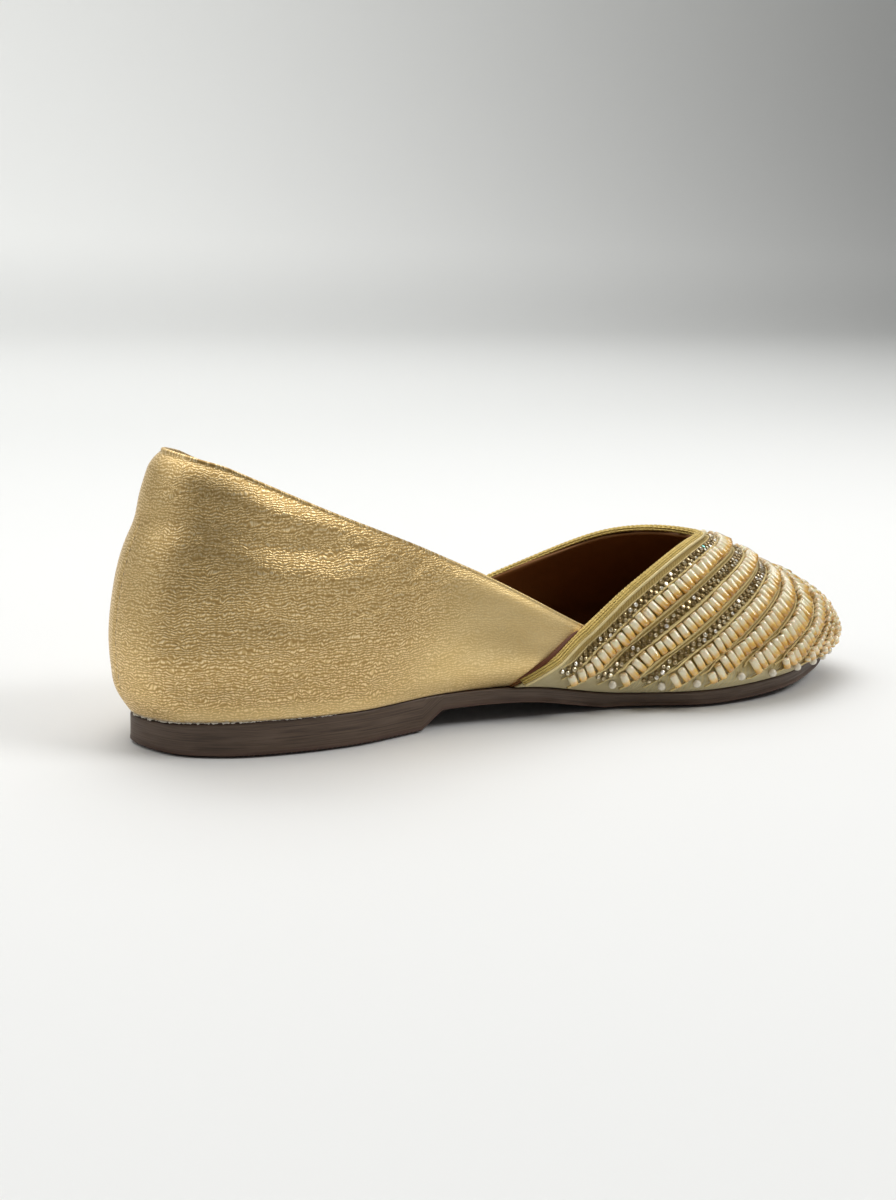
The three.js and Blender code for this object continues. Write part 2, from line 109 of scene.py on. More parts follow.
# Rows of the vamp: place on the middle line, stop above the sole, and radius of the cords beside the row
BEAD_ROWS = table(
    "row stop cord", (0.152, 0.04, 0.44), (0.315, 0.065, 0.44), (0.458, 0.065, 0.40), (0.520, 0.075, 0.33),
    (0.583, 0.095, 0.31), (0.641, 0.11, 0.31), (0.700, 0.14, 0.30), (0.760, 0.17, 0.29), (0.820, 0.20, 0.28),
    (0.878, 0.24, 0.28),
)
STONE_ROWS = table("row stop", (0.088, 0.06), (0.241, 0.06), (0.396, 0.06))
BRAID_ROW, BRAID_STOP = 0.030, 0.008
BRAID_THREAD = 0.36
PALE_CORD = 0.50
BEAD_LENGTH = 4.6
BEAD_RADIUS = 1.22
BEAD_PITCH = 2.95
STONE_RADIUS = 0.74
STONE_PITCH = 1.62
STONE_CROWD = 1.35
STONE_ASIDE = 0.64
STONE_CORD = 0.27
BEAD_CORD_STOP, STONE_CORD_STOP = 0.85, 0.9  # shares of a row's own stop, for the cords beside it
PEARL_RADIUS = 1.25
NOTCH_PITCH, NOTCH_DEPTH = 1.55, 0.5
STITCH_PITCH, STITCH_RADIUS = 3.1, 0.2
CLOTH_LENGTH, CLOTH_WIDTH = 67.2, 100  # scale of the cloth's pattern along and across the vamp
NUDGE = 0.004
ROW_NUDGE = 0.01
# The photo's view
CAMERA_AZIMUTH, CAMERA_ELEVATION, CAMERA_ROLL = 31.47, 12.70, 2.43
CAMERA_DISTANCE = 519.7
CAMERA_TARGET = (103.1, 0.0, 31.94)
PHOTO_WIDTH, LENS_LENGTH = 896, 1754  # pixels
SENSOR_WIDTH = 36.0


def smooth_step(low, high, value):
    """0 below low, 1 above high, and a cubic with level ends between them."""
    t = np.clip((value - low) / (high - low), 0, 1)
    return t * t * (3 - 2 * t)


def bell(value, centre, width):
    """1 at the centre, falling off as a Gaussian of that width."""
    return np.exp(-(((value - centre) / width) ** 2))


def unit(vectors):
    """Vectors of length 1 with the same directions."""
    return vectors / np.maximum(np.linalg.norm(vectors, axis=-1, keepdims=True), 1e-12)


def spline(knots, position, mirror=1):
    """Catmull-Rom through evenly numbered knots, mirrored past the ends, where mirror -1 turns the sign."""
    last = len(knots) - 1
    padded = np.concatenate([mirror * knots[2:0:-1], knots, mirror * knots[-2:-5:-1]])
    start = np.clip(np.floor(position), -1, last).astype(int)
    f = position - start
    a, b, c, d = [padded[start + shift + 2] for shift in (-1, 0, 1, 2)]
    return b + 0.5 * f * (c - a + f * (2 * a - 5 * b + 4 * c - d + f * (3 * (b - c) + d - a)))


def curve(columns, key, value, at):
    """Piecewise cubic through a table's rows, level past its ends."""
    x, y = columns[key], columns[value]
    last = len(x) - 1
    before, after = np.maximum(np.arange(last + 1) - 1, 0), np.minimum(np.arange(last + 1) + 1, last)
    slope = (y[after] - y[before]) / (x[after] - x[before])
    at = np.clip(at, x[0], x[-1])
    r = np.clip(np.searchsorted(x, at) - 1, 0, last - 1)
    run = x[r + 1] - x[r]
    f = (at - x[r]) / run
    rise = y[r] * (2 * f**3 - 3 * f**2 + 1) + y[r + 1] * (3 * f**2 - 2 * f**3)
    return rise + run * (slope[r] * (f**3 - 2 * f**2 + f) + slope[r + 1] * (f**3 - f**2))


LAST = len(SECTIONS["along"]) - 1
STATIONS = np.linspace(0, LAST, 2401)
ALONGS = spline(SECTIONS["along"], STATIONS)


def column(name, station):
    """A column of the sections' table at a station, which counts its rows."""
    return spline(SECTIONS[name], station)


def station_at(along):
    return np.interp(along, ALONGS, STATIONS)


def seat_under(x):
    """Height of the sole's upper face at x."""
    return HEEL_HEIGHT * column("seat", station_at(np.clip(x / SOLE_LENGTH, 0, 1)))


def outline(station, side, inset=0.0):
    """Sole outline in plan: side is -1 at the inner edge and 1 at the outer. Inset draws it inwards."""

    def place(s):
        along = column("along", s)
        width = HEEL_WIDTH + (BALL_WIDTH - HEEL_WIDTH) * smooth_step(0.2, 0.62, along)
        half = np.where(side < 0, spline(SECTIONS["inner"], s, -1), spline(SECTIONS["outer"], s, -1))
        return np.stack([along * SOLE_LENGTH, side * width * half], -1)

    ahead = unit(place(station + NUDGE) - place(station - NUDGE))
    inward = np.stack([side * ahead[..., 1], -side * ahead[..., 0]], -1)
    return place(station) + inward * np.broadcast_to(np.asarray(inset, float), np.shape(station))[..., None]


def heel_tuck(station, side):
    """How far the sole and the quarter's foot lie inside the heel's outline."""
    along = column("along", station)
    inner, outer = [curve(TUCK_SHAPE, "along", name, along) for name in ("inner", "outer")]
    return HEEL_TUCK * np.where(side < 0, inner, outer)


def back_lean(along, up):
    """How far the back leans forward at a height: most at the heel's back, and gone at BACK_FADE."""
    fade = np.maximum(0, 1 - along / BACK_FADE) ** 1.5
    return BACK_HEIGHT * curve(BACK_CURVE, "up", "lean", up / BACK_HEIGHT) * fade


def last_point(station, side, rise):
    """Point of the last: a superellipse section, swollen at mid height, leaned at the back and the toe."""
    station, side, rise = np.broadcast_arrays(*[np.asarray(value, float) for value in (station, side, rise)])
    along = column("along", station)
    sine, cosine = np.sin(rise), np.cos(rise)
    climb = np.sign(sine) * np.abs(sine) ** (2 / column("flank", station))
    share = np.sign(cosine) * np.abs(cosine) ** (2 / column("crown", station))
    up = INSTEP_HEIGHT * column("ridge", station) * climb
    tuck = VAMP_TUCK * smooth_step(0.3, 0.5, along) * (1 - smooth_step(0, 0.3, climb))
    foot = outline(station, side, tuck + heel_tuck(station, side) * (1 - smooth_step(0, 0.13, climb)))
    swell = QUARTER_WALL * column("bulge", station) * SWELL_PEAK * np.abs(climb) * (1 - np.abs(climb)) ** 2
    outwards = outline(station, side, -1.0) - foot
    lean = back_lean(along, up)
    nose = INSTEP_HEIGHT * column("nose", station) * climb * climb
    x = foot[..., 0] + outwards[..., 0] * swell + lean
    y = foot[..., 1] * share + outwards[..., 1] * swell * np.maximum(0, cosine)
    return np.stack([x - nose, y, seat_under(x) + FIT_GAP + up], -1)


def skin(station, side, rise, lift):
    """The last's surface lifted along its outward normal, which turns level down at the sole."""
    side, lift = np.asarray(side, float), np.asarray(lift, float)
    station, side, rise, lift = np.broadcast_arrays(station, side, rise, lift)
    faced = np.clip(rise, 0.05, np.pi / 2 - 0.15 * smooth_step(LAST - 0.3, LAST, station))
    ahead = last_point(station + NUDGE, side, faced) - last_point(station - NUDGE, side, faced)
    upwards = last_point(station, side, faced + NUDGE) - last_point(station, side, faced - NUDGE)
    normal = unit(np.cross(ahead, upwards) * -side[..., None])
    normal[..., 2] = np.maximum(normal[..., 2], 0) * smooth_step(0, 0.3, rise)
    normal[..., 1] = np.where(np.cos(rise) < 1e-6, 0, normal[..., 1])
    base = last_point(station, side, rise)
    lifted = base + unit(normal) * lift[..., None]
    lifted[..., 2] += seat_under(lifted[..., 0]) - seat_under(base[..., 0])
    return lifted


def rise_at_height(station, up):
    """Angle up the section at which the last is that high above the seat."""
    climb = np.clip(up / (INSTEP_HEIGHT * column("ridge", station)), 0, 1)
    return np.arcsin(climb ** (column("flank", station) / 2))


def running_length(points):
    """Length along a path up to each of its points."""
    return np.concatenate([[0], np.cumsum(np.linalg.norm(np.diff(points, axis=0), axis=1))])


MIDDLE_STATION = np.concatenate([np.linspace(station_at(THROAT_APEX), LAST, 61), np.full(40, float(LAST))])
MIDDLE_RISE = np.concatenate([np.full(61, np.pi / 2), np.linspace(np.pi / 2, 0, 41)[1:]])
MIDDLE_ROW = running_length(last_point(MIDDLE_STATION, 1, MIDDLE_RISE))
MIDDLE_ROW = MIDDLE_ROW / MIDDLE_ROW[-1]


def row_point(row, across, lift):
    """Point of the vamp: row is a share of its middle line, and across goes from -1, the inner edge, to 1."""
    row, across = np.broadcast_arrays(np.asarray(row, float), np.asarray(across, float))
    apex = np.interp(row, MIDDLE_ROW, MIDDLE_STATION)
    apex_rise = np.interp(row, MIDDLE_ROW, MIDDLE_RISE)
    foot = station_at(curve(ROW_SHAPE, "row", "foot", row))
    blunt = curve(ROW_SHAPE, "row", "blunt", row)
    away = np.abs(across)
    run = (np.sqrt(away**2 + blunt**2) - blunt) / (np.sqrt(1 + blunt**2) - blunt)
    side = np.where(across < 0, -1.0, 1.0)
    return skin(apex + (foot - apex) * run, side, apex_rise * np.maximum(1 - away, 0) ** 0.75, lift)


def row_frame(row, across, lift):
    """Place on a row, its unit directions along the row, aside towards the toe and outward, and its room.

    Room is the length along aside for each whole step of row.
    """
    here = row_point(row, across, lift)
    along = unit(row_point(row, across + NUDGE, lift) - row_point(row, across - NUDGE, lift))
    up = unit(row_point(row, across, lift + 1) - here)
    aside = unit(np.cross(along, up))
    spread = row_point(row + ROW_NUDGE, across, lift) - row_point(row - ROW_NUDGE, across, lift)
    return here, along, aside, up, np.abs((spread * aside).sum(-1)) / (2 * ROW_NUDGE)


def even_places(row, stop, lift, count):
    """Count values of across that are evenly spaced by length along a row, at the middles of equal steps."""
    across = np.linspace(stop - 1, 1 - stop, 1500)
    length = running_length(row_point(row, across, lift))
    return np.interp((np.arange(count) + 0.5) / count * length[-1], length, across), length[-1]


class Shape:
    """Vertices and faces gathered from grids of points, with one vector per vertex named place."""

    def __init__(self):
        self.points, self.faces, self.places, self.slots, self.count = [], [], [], [], 0

    def add(self, points, place=None, wrap=True, caps=True, slot=0):
        """Points is (items, rows, columns, 3). Columns close into a ring, and the end rows are capped."""
        if points.ndim == 3:
            points = points[None]
        items, rows, cols = points.shape[:3]
        place = np.zeros(points.shape) if place is None else np.broadcast_to(place, points.shape)
        index = np.arange(items * rows * cols).reshape(items, rows, cols)
        ring = np.concatenate([index, index[:, :, :1]], 2) if wrap else index
        quads = np.stack([ring[:, :-1, :-1], ring[:, 1:, :-1], ring[:, 1:, 1:], ring[:, :-1, 1:]], -1)
        flat = points.reshape(-1, 3)
        corner = [flat[quads[0].reshape(-1, 4)[:, k]] for k in range(4)]
        middle = flat[: rows * cols].mean(0)
        a, b, c, d = [k - middle for k in corner]
        turned = (a * (np.cross(b, c) + np.cross(c, d))).sum() < 0
        slots = np.broadcast_to(np.asarray(slot), (rows - 1, ring.shape[2] - 1))
        groups = [(quads.reshape(-1, 4), np.tile(slots.reshape(-1), items))]
        if caps:
            groups.append((index[:, 0, :], np.full(items, slots[0, 0])))
            groups.append((index[:, -1, ::-1], np.full(items, slots[-1, 0])))
        for faces, face_slots in groups:
            self.faces.append((faces[:, ::-1] if turned else faces) + self.count)
            self.slots.append(face_slots)
        self.points.append(flat)
        self.places.append(place.reshape(-1, 3))
        self.count += len(flat)

    def piece(self, name, materials, slot, replaced=(), smooth=True):
        """Makes the mesh, fastens it to the shoe when a slot is given, and hides the parts it replaces."""
        mesh = bpy.data.meshes.new(name)
        points = (np.concatenate(self.points) - [ORIGIN_X, 0, 0]) / 1000
        mesh.vertices.add(len(points))
        mesh.vertices.foreach_set("co", points.astype(np.float32).ravel())
        sizes = np.concatenate([np.full(len(f), f.shape[1]) for f in self.faces])
        corners = np.concatenate([f.ravel() for f in self.faces])
        mesh.loops.add(len(corners))
        mesh.loops.foreach_set("vertex_index", corners.astype(np.int32))
        mesh.polygons.add(len(sizes))
        mesh.polygons.foreach_set("loop_start", (np.cumsum(sizes) - sizes).astype(np.int32))
        mesh.polygons.foreach_set("material_index", np.concatenate(self.slots).astype(np.int32))
        mesh.polygons.foreach_set("use_smooth", np.full(len(sizes), smooth))
        mesh.update(calc_edges=True)
        place = mesh.attributes.new("place", "FLOAT_VECTOR", "POINT")
        place.data.foreach_set("vector", np.concatenate(self.places).astype(np.float32).ravel())
        for material in materials:
            mesh.materials.append(material)
        piece = bpy.data.objects.new(name, mesh)
        bpy.context.scene.collection.objects.link(piece)
        if slot:
            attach(piece, "root")
        if replaced:
            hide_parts(*replaced)
        return piece


def tube(centre, across, up, radius, around=10, lobes=0, depth=0.0, twist=0.0):
    """Rings of points round a path. Radius may vary along it, and its lobes may be twisted like a thread."""
    angle = np.linspace(0, 2 * np.pi, around, endpoint=False)
    radius = np.broadcast_to(np.asarray(radius, float), centre.shape[:-1])[..., None]
    turn = (twist * running_length(centre))[:, None] if lobes else 0.0
    reach = radius * (1 + depth * np.cos(lobes * angle + turn))
    ring = across[..., None, :] * np.cos(angle)[:, None] + up[..., None, :] * np.sin(angle)[:, None]
    return centre[..., None, :] + ring * reach[..., None]


class Look:
    """A material's nodes: each call adds a node and returns its output, and surface ends the material."""

    def __init__(self, name):
        self.material = bpy.data.materials.new(name)
        self.material.use_nodes = True
        self.tree = self.material.node_tree
        self.tree.nodes.clear()

    def node(self, kind, inputs, output=0, **settings):
        made = self.tree.nodes.new("ShaderNode" + kind)
        for name, value in settings.items():
            setattr(made, name, value)
        for key, value in inputs.items():
            if isinstance(value, bpy.types.NodeSocket):
                self.tree.links.new(value, made.inputs[key])
            else:
                made.inputs[key].default_value = value
        return made.outputs[output] if len(made.outputs) else None

    def place(self):
        return self.node("Attribute", {}, 1, attribute_name="place")

    def part(self, vector, axis):
        return self.node("SeparateXYZ", {0: vector}, axis)

    def stretched(self, vector, *scale):
        return self.node("VectorMath", {0: vector, 1: scale}, operation="MULTIPLY")

    def noise(self, vector, scale=1.0, detail=3.0, rough=0.5):
        return self.node("TexNoise", {"Vector": vector, "Scale": scale, "Detail": detail, "Roughness": rough})

    def math(self, operation, a, b):
        return self.node("Math", {0: a, 1: b}, operation=operation)

    def fit(self, value, low, high, to_low=0.0, to_high=1.0, kind="SMOOTHSTEP"):
        values = {"Value": value, "From Min": low, "From Max": high, "To Min": to_low, "To Max": to_high}
        return self.node("MapRange", values, interpolation_type=kind)

    def ramp(self, value, *stops):
        made = self.tree.nodes.new("ShaderNodeValToRGB")
        elements = made.color_ramp.elements
        while len(elements) < len(stops):
            elements.new(0.5)
        for element, (at, colour) in zip(elements, stops):
            element.position = at
            element.color = (*colour, 1)
        self.tree.links.new(value, made.inputs[0])
        return made.outputs[0]

    def mix(self, share, a, b):
        made = self.tree.nodes.new("ShaderNodeMix")
        made.data_type = "RGBA"
        for key, value in ((0, share), (6, a), (7, b)):
            if isinstance(value, bpy.types.NodeSocket):
                self.tree.links.new(value, made.inputs[key])
            else:
                made.inputs[key].default_value = value if key == 0 else (*value, 1)
        return made.outputs[2]

    def bump(self, height, distance, strength=1.0):
        return self.node("Bump", {"Height": height, "Distance": distance / 1000, "Strength": strength})

    def surface(self, **inputs):
        names = {key.replace("_", " "): value for key, value in inputs.items()}
        for key, value in names.items():
            if isinstance(value, tuple) and len(value) == 3 and "Color" in key:
                names[key] = (*value, 1)
        shader = self.node("BsdfPrincipled", names)
        self.node("OutputMaterial", {0: shader})
        return self.material


def gold_leather():
    """Foiled leather: short wavy ridges about 0.8 mm apart that flatten out low down and to the front.

    Place is (length round the heel, height, calm mask). The ridges' troughs carry painted shade and their tops
    painted highlight, and the mask lays on a brighter smooth gold, partly a painted reflection of the floor.
    """
    look = Look("gold_leather")
    place = look.place()
    s, up, calm_and_painted_light = look.part(place, 0), look.part(place, 1), look.part(place, 2)
    drift = look.noise(look.stretched(place, 0.09, 0.16, 0), 1.0, 2)
    wave = look.node(
        "TexNoise", {"Vector": look.stretched(place, 0.20, 0.26, 0), "Scale": 1.0, "Detail": 2.0}, 1
    )
    moved = look.node("VectorMath", {0: place, 1: look.stretched(wave, 2.2, 3.4, 0)}, operation="ADD")
    ridges = look.node(
        "TexWave", {"Vector": moved, "Scale": 0.40, "Distortion": 4.4, "Detail": 1.0, "Detail Scale": 1.7}, 1,
        bands_direction="Y",
    )
    breaks = look.node(
        "TexWave", {"Vector": moved, "Scale": 0.25, "Distortion": 9.0, "Detail": 1.0, "Detail Scale": 2.4}, 1,
        bands_direction="X",
    )
    grain = look.math("MULTIPLY", ridges, look.fit(breaks, 0.05, 0.7, 0.40, 1.0))
    depth = look.math("MULTIPLY", look.fit(calm_and_painted_light, 0, 1, 1.0, 0.30), look.fit(drift, 0.3, 0.7, 0.75, 1.1))
    height = look.math("MULTIPLY", grain, depth)
    # The ramp follows the grain: the foil's own tone, darker in the troughs and paler on the ridges, is partly
    # painted shade in the troughs and painted highlight on the ridge tops.
    foil_and_painted_ridge_light = look.ramp(
        grain, (0.0, (0.46, 0.29, 0.10)), (0.35, (0.66, 0.46, 0.19)), (0.75, (0.86, 0.64, 0.32)),
        (1.0, (0.97, 0.77, 0.45)),
    )
    # Smooth gold, brighter than the ridged foil: the smoother leather's own colour plus a painted reflection of
    # the bright floor, laid on by the calm mask low down, to the front and at the heel's back.
    smooth_gold_and_painted_reflection = look.mix(look.fit(drift, 0.25, 0.75), (0.92, 0.69, 0.31), (0.97, 0.75, 0.37))
    colour = look.mix(look.fit(calm_and_painted_light, 0, 1, 0.0, 0.62), foil_and_painted_ridge_light, smooth_gold_and_painted_reflection)
    glue_noise = look.noise(look.stretched(place, 0.9, 1.6, 0), 1.0, 4, 0.7)
    glue_line = look.math("MULTIPLY", look.fit(up, 0.2, 1.1, 1, 0), look.fit(s, -70, -20, 0.25, 1.0))
    glue = look.math("MULTIPLY", glue_line, look.fit(glue_noise, 0.42, 0.62))
    colour = look.mix(look.math("MULTIPLY", glue, 0.75), colour, (0.80, 0.76, 0.66))
    rough = look.math("ADD", look.fit(grain, 0.1, 0.9, 0.52, 0.40), look.math("MULTIPLY", glue, 0.3))
    return look.surface(
        Base_Color=colour, Metallic=0.88, Roughness=rough, Normal=look.bump(height, 0.055, 1.0),
        Specular_IOR_Level=0.5, Coat_Weight=0.1, Coat_Roughness=0.35,
    )


def lining_leather(name="lining_leather", tone=(0.24, 0.09, 0.016)):
    """Smooth brown lining with a faint nap."""
    look = Look(name)
    spot = look.node("TexCoord", {}, "Object")
    cloud = look.noise(spot, 60.0, 4, 0.6)
    colour = look.mix(cloud, tuple(0.7 * c for c in tone), tuple(1.3 * c for c in tone))
    normal = look.bump(look.noise(spot, 1800.0, 3, 0.6), 0.05, 0.6)
    return look.surface(Base_Color=colour, Roughness=0.55, Normal=normal, Specular_IOR_Level=0.35)


def brocade():
    """Gold cloth: a fine twill of metal thread. Place is (along, across, share of the way to the sole)."""
    look = Look("brocade")
    place = look.place()
    spread = look.stretched(place, 1.0, 0.55, 0)
    thread = look.node(
        "TexWave", {"Vector": spread, "Scale": 1.1, "Distortion": 1.4, "Detail": 2.0}, 1,
        bands_direction="DIAGONAL",
    )
    cloud = look.noise(look.stretched(place, 0.5, 0.5, 0), 1.0, 4, 0.6)
    # Darker cloth inside the margin and paler at it: the cloth's own tone plus painted shade between and under
    # the rows of beads and stones, which the open margin doesn't get.
    margin = look.fit(look.part(place, 2), 0.86, 0.93)
    dark = look.mix(cloud, (0.24, 0.155, 0.028), (0.52, 0.36, 0.09))
    pale = look.mix(cloud, (0.40, 0.33, 0.14), (0.66, 0.59, 0.38))
    colour = look.mix(margin, dark, pale)
    colour = look.mix(look.math("MULTIPLY", thread, 0.35), colour, (0.66, 0.49, 0.17))
    height = look.math("ADD", thread, cloud)
    return look.surface(
        Base_Color=colour, Metallic=0.25, Roughness=0.55, Sheen_Weight=0.2,
        Normal=look.bump(height, 0.18, 0.8),
    )


def gold_thread(name, low, high, rough=0.38):
    """Wound metal thread: fine turns across a cord. Place holds the length along it."""
    look = Look(name)
    place = look.place()
    spread = look.stretched(place, 1, 0.6, 0)
    turns = look.node("TexWave", {"Vector": spread, "Scale": 0.9, "Distortion": 0.6}, 1)
    cloud = look.noise(look.stretched(place, 0.4, 0.4, 0.4), 1.0, 3, 0.6)
    share = look.math("ADD", look.math("MULTIPLY", turns, 0.6), look.math("MULTIPLY", cloud, 0.5))
    colour = look.mix(look.fit(share, 0.1, 0.95), low, high)
    return look.surface(
        Base_Color=colour, Metallic=0.45, Roughness=rough, Sheen_Weight=0.15,
        Normal=look.bump(turns, 0.09, 0.7),
    )


def bead_glass():
    """Tube beads: pearly at the throat's end and amber at the toe's. Place is (share, chance, row share)."""
    look = Look("bead_glass")
    place = look.place()
    share, chance, row = look.part(place, 0), look.part(place, 1), look.part(place, 2)
    cloud = look.noise(look.node("TexCoord", {}, "Object"), 700.0, 3, 0.6)
    at = look.math("ADD", share, look.math("MULTIPLY", look.math("SUBTRACT", cloud, 0.5), 0.5))
    at = look.math("ADD", at, look.math("MULTIPLY", look.math("SUBTRACT", chance, 0.5), 0.35))
    colour = look.ramp(
        look.fit(at, -0.1, 1.1, kind="LINEAR"),
        (0.0, (0.58, 0.37, 0.12)), (0.16, (0.94, 0.84, 0.60)), (0.45, (0.96, 0.84, 0.57)),
        (0.68, (0.92, 0.60, 0.16)), (1.0, (0.58, 0.28, 0.04)),
    )
    colour = look.mix(look.fit(row, 0.4, 1, 0, 0.25), colour, (0.90, 0.66, 0.36))
    return look.surface(
        Base_Color=colour, Roughness=0.12, Specular_IOR_Level=0.8, Coat_Weight=0.9, Coat_Roughness=0.04,
        Subsurface_Weight=0.25, Subsurface_Scale=0.001, Subsurface_Radius=(1.0, 0.6, 0.3),
        Normal=look.bump(cloud, 0.06, 0.5),
    )


def pearl():
    """Cream pearl, clouded."""
    look = Look("pearl")
    spot = look.node("TexCoord", {}, "Object")
    colour = look.mix(look.noise(spot, 400.0, 2), (0.74, 0.66, 0.48), (0.92, 0.86, 0.72))
    return look.surface(Base_Color=colour, Roughness=0.14, Coat_Weight=0.6, Coat_Roughness=0.06)


def stone_glass():
    """Cut stones: champagne to dark amber, one by one. Place is (chance, 0, 0)."""
    look = Look("stone_glass")
    chance = look.part(look.place(), 0)
    colour = look.ramp(
        chance, (0.0, (0.16, 0.10, 0.025)), (0.4, (0.42, 0.30, 0.12)), (0.75, (0.84, 0.74, 0.50)),
        (0.97, (0.95, 0.92, 0.85)), (0.985, (0.20, 0.62, 0.50)),
    )
    return look.surface(
        Base_Color=colour, Metallic=0.55, Roughness=0.07, Coat_Weight=0.8, Coat_Roughness=0.02
    )


def rubber():
    """Dark brown rubber: fine streaks along the wall, a redder low edge, painted shade below. Place is (length,
    height, under).
    """
    look = Look("sole_rubber")
    place = look.place()
    up = look.part(place, 1)
    streaks = look.noise(look.stretched(place, 0.05, 2.6, 0), 1.0, 5, 0.65)
    cloud = look.noise(look.stretched(place, 0.05, 0.3, 0), 1.0, 3, 0.6)
    speck = look.noise(look.node("TexCoord", {}, "Object"), 900.0, 3, 0.6)
    colour = look.mix(look.fit(streaks, 0.3, 0.7), (0.048, 0.026, 0.014), (0.125, 0.078, 0.048))
    colour = look.mix(look.fit(cloud, 0.4, 0.75, 0, 0.4), colour, (0.16, 0.105, 0.072))
    colour = look.mix(look.fit(up, 0.4, 2.4, 0.55, 0), colour, (0.085, 0.026, 0.014))
    # The underside and the bottom edges go near black: painted shade where the sole faces the floor.
    under = look.part(place, 2)
    colour = look.mix(under, colour, (0.030, 0.017, 0.011))
    height = look.math("ADD", look.math("MULTIPLY", streaks, 0.7), look.math("MULTIPLY", speck, 0.3))
    return look.surface(
        Base_Color=colour, Roughness=look.fit(streaks, 0.3, 0.7, 0.56, 0.40), Specular_IOR_Level=0.5,
        Normal=look.bump(height, 0.08, 0.7),
    )


def creases(x, up, side):
    """Troughs (negative) and ridges of the worn quarter, from x along the shoe and height above the seat.

    The inner side has the long trough under the top edge, the hollow above the heel seat and a few soft folds.
    Each is a depth, times a bell at a place with a width, times the run over which it comes and goes.
    """
    inner = smooth_step(0.35, -0.35, side)
    trough_up = 53.0 - 0.17 * (x - 8) + 1.2 * np.sin(x / 9)
    trough = -0.72 * bell(up, trough_up, 4.2) * smooth_step(-4, 10, x) * (1 - smooth_step(46, 74, x))
    ridge = 0.30 * bell(up, trough_up - 9, 4.5) * smooth_step(2, 16, x) * (1 - smooth_step(40, 66, x))
    brow = 0.30 * bell(up, trough_up + 7.5, 3.6) * smooth_step(4, 20, x) * (1 - smooth_step(40, 66, x))
    dent = -0.9 * bell(up, 52.5, 5.0) * (1 - smooth_step(2, 14, x))
    hollow = -0.85 * bell(x, 17, 11) * bell(up, 9.5, 4.6)
    hollow = hollow - 0.5 * bell(x, 12, 6) * bell(up, 24, 12)
    fold = -0.35 * bell(up - 0.35 * (x - 60), 30, 3.4) * bell(x, 66, 16)
    fold = fold - 0.3 * bell(up + 0.25 * (x - 40), 26, 3.0) * bell(x, 40, 18)
    lower = 0.3 * bell(up, 5, 4) * smooth_step(50, 80, x)
    small = 0.10 * np.sin(up / 2.7 + 1.3 * np.sin(x / 11)) * bell(x, 34, 34) * smooth_step(4, 12, up)
    outer = -0.8 * bell(up, 49 - 0.2 * x, 4.4) * smooth_step(-2, 12, x) * (1 - smooth_step(40, 64, x))
    outer = outer - 0.7 * bell(x, 24, 12) * bell(up, 11, 5)
    outer = outer - 0.3 * bell(up - 0.3 * (x - 60), 26, 4) * bell(x, 70, 14)
    own = trough + ridge + brow + hollow + fold + lower
    return dent + small + inner * own + (1 - inner) * outer


def quarter():
    """One folded shell: up the outside, over the rolled top edge and down the inside, in rows round the heel.

    The gold leather is turned over the edge and in by a few columns, and the lining starts below it.
    """
    end = float(station_at(QUARTER_END))
    around, outside, roll, turned_in, inside = 620, 96, 12, 7, 30
    signed = np.linspace(-end, end, around)[:, None]
    station, side = np.abs(signed), np.where(signed < 0, -1.0, 1.0)
    share = np.concatenate([np.linspace(0, 1, outside), np.ones(roll), np.linspace(1, 0, inside)])[None, :]
    over = np.linspace(0, np.pi, roll + 2)[1:-1]
    turn = np.concatenate([np.zeros(outside), over, np.full(inside, np.pi)])[None, :]
    top = BACK_HEIGHT * curve(TOP_LINE, "along", "up", column("along", station))
    radius = QUARTER_WALL / 2
    up = (top - radius) * share
    lift = -radius + radius * np.cos(turn)
    plan = outline(station + 0 * share, side + 0 * share)
    collar_band = 6.5
    pull = 0.5 + 2.3 * (1 - smooth_step(0, 46, plan[..., 0]))
    collar = np.clip((up - (top - collar_band)) / collar_band, 0, 1) ** 2 * pull
    soft_side = np.clip(plan[..., 1] / 14, -1, 1)
    worn = creases(plan[..., 0], up, soft_side)
    worn = worn * (1 - 0.75 * smooth_step(0.86, 1.0, share)) * smooth_step(0, 0.06, share) - collar
    seam = -0.32 * bell(plan[..., 1], -1.2, 0.55) * smooth_step(3, 6, up) * (1 - smooth_step(50, 56, up))
    lift = lift + worn + seam * (turn == 0)
    points = skin(station + 0 * share, side + 0 * share, rise_at_height(station, up), lift)
    points[..., 2] += radius * np.sin(turn) - 0.25 * radius * (turn == 0) * smooth_step(0.9, 1.0, share)
    length = np.interp(station, STATIONS, running_length(outline(STATIONS, -1.0))) * side
    x = plan[..., 0]
    # The calm mask: where the grain flattens out, and where the leather takes the brighter smooth gold, which is
    # partly a painted reflection of the floor along the low front, just above the sole and at the heel's back.
    calm_and_painted_light = smooth_step(62, 118, x + 0.9 * (26 - up)) * smooth_step(30, 60, x)
    calm_and_painted_light = np.maximum(calm_and_painted_light, 0.85 * (1 - smooth_step(1.0, 7.0, up)) * smooth_step(-4, 14, x))
    calm_and_painted_light = np.maximum(calm_and_painted_light, 0.35 * (1 - smooth_step(2, 9, x)))
    place = np.stack([length + 0 * share, up + 0 * length, calm_and_painted_light], -1)
    lined = np.arange(share.shape[1]) >= outside + roll + turned_in
    shape = Shape()
    shape.add(points, place, slot=lined.astype(int))
    shape.piece("quarter_leather", [gold_leather(), lining_leather()], "gold_leather", ["upper"])


